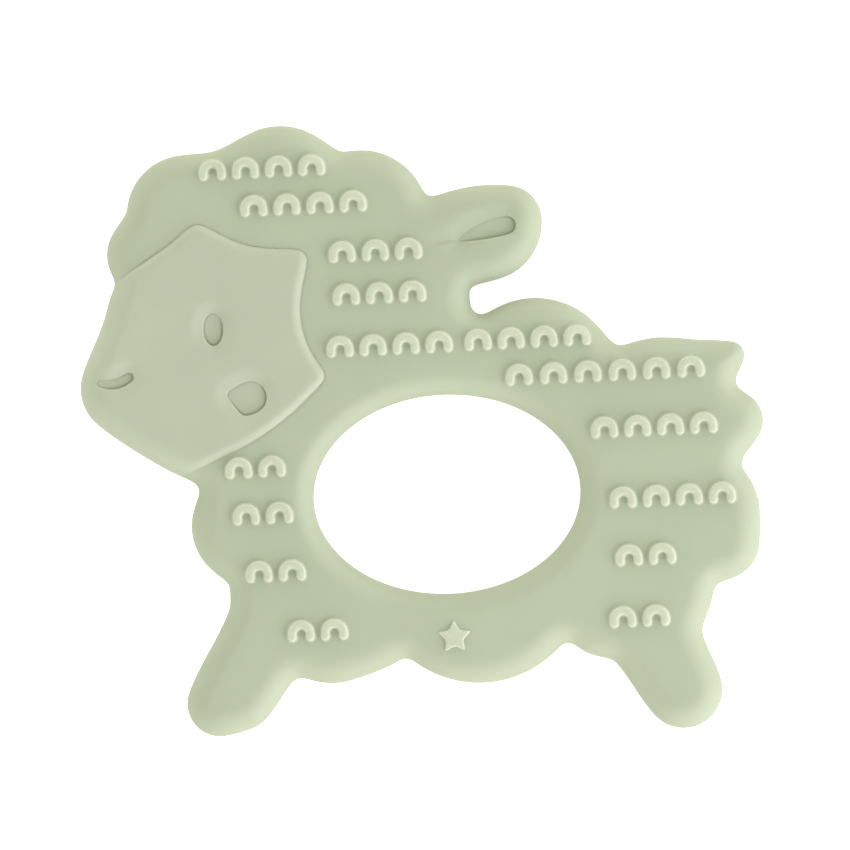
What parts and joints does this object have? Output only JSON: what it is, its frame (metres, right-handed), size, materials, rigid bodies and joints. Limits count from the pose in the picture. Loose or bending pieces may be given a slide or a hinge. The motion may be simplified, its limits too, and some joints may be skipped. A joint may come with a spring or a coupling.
{
  "type": "teething ring",
  "caption": "Lamb-shaped flat silicone teething ring with an oval grip hole, a raised face and rows of small raised arches to chew on.",
  "frame": {"origin": "centre of the oval grip hole, on the flat back", "axes": "+X along the rows of wool marks towards the tail, +Y towards the crown of the head, +Z out of the front face"},
  "size_m": [0.1021, 0.0931, 0.0098],
  "materials": {
    "silicone_wool": "satin",
    "silicone_face": "satin",
    "silicone_marks": "matte"
  },
  "bodies": {
    "root": {"lamb_body": "silicone_wool", "face_mask": "silicone_face", "star_badge": "silicone_marks", "crown_marks_upper": "silicone_marks", "crown_marks_lower": "silicone_marks", "nape_marks_upper": "silicone_marks", "nape_marks_lower": "silicone_marks", "withers_marks": "silicone_marks", "back_marks": "silicone_marks", "rump_marks": "silicone_marks", "flank_marks": "silicone_marks", "thigh_marks_upper": "silicone_marks", "thigh_marks_lower": "silicone_marks", "hind_leg_marks": "silicone_marks", "throat_marks": "silicone_marks", "chest_marks_upper": "silicone_marks", "chest_marks_lower": "silicone_marks", "front_leg_marks": "silicone_marks"}
  },
  "joints": []
}
